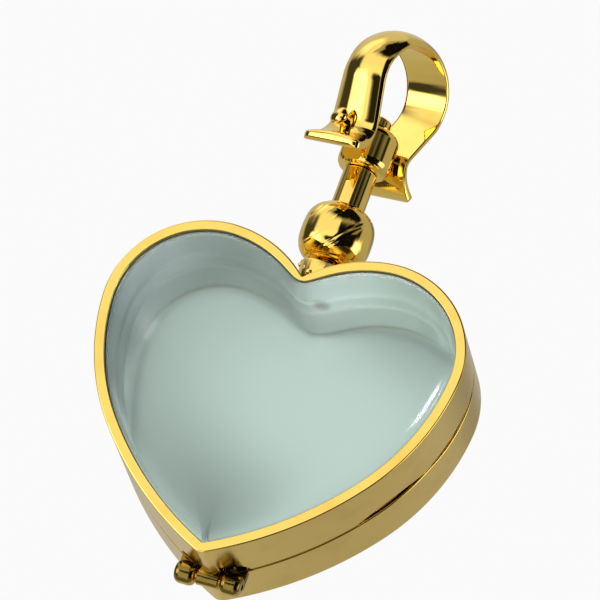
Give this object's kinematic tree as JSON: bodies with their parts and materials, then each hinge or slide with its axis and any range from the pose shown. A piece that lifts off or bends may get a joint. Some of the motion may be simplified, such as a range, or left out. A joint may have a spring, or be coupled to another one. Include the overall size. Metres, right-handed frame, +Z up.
{
  "type": "heart locket",
  "caption": "Heart-shaped pendant locket with domed glass faces, hinged at its tip and closed by a screw ball that swivels under an omega bail.",
  "frame": {"origin": "crown of the bail's inside, where the locket hangs", "axes": "+Z up, +X to the right seen from the front, the front glass faces -Y"},
  "size_m": [0.028, 0.0109, 0.0464],
  "materials": {
    "polished_gold": "gold plated and polished",
    "clear_glass": "polished"
  },
  "bodies": {
    "bail": {"bail": "polished_gold", "rivet_front": "polished_gold", "rivet_back": "polished_gold"},
    "swivel": {"swivel_barrel": "polished_gold"},
    "ball": {"post": "polished_gold", "screw_ball": "polished_gold"},
    "back_half": {"back_frame": "polished_gold", "back_glass": "clear_glass", "hinge_pin": "polished_gold"},
    "front_half": {"front_frame": "polished_gold", "front_glass": "clear_glass"}
  },
  "joints": [
    {"name": "bail_swing", "type": "hinge", "parent": "bail", "child": "swivel", "pos_m": [-0.00097, 0.00097, -0.00808], "axis": [0.3843, 0.9232, 0], "range_deg": [-122.5, 137.5]},
    {"name": "swivel", "type": "hinge", "parent": "swivel", "child": "ball", "pos_m": [-0.00097, 0.00097, -0.00808], "axis": [0, 0, 1], "continuous": true},
    {"name": "unscrew", "type": "slide", "parent": "ball", "child": "back_half", "axis": [0, 0, -1], "range_m": [0, 0.0026]},
    {"name": "front_open", "type": "hinge", "parent": "back_half", "child": "front_half", "pos_m": [-0.00097, 0.00097, -0.04454], "axis": [1, 0, 0], "range_deg": [0, 125]}
  ]
}
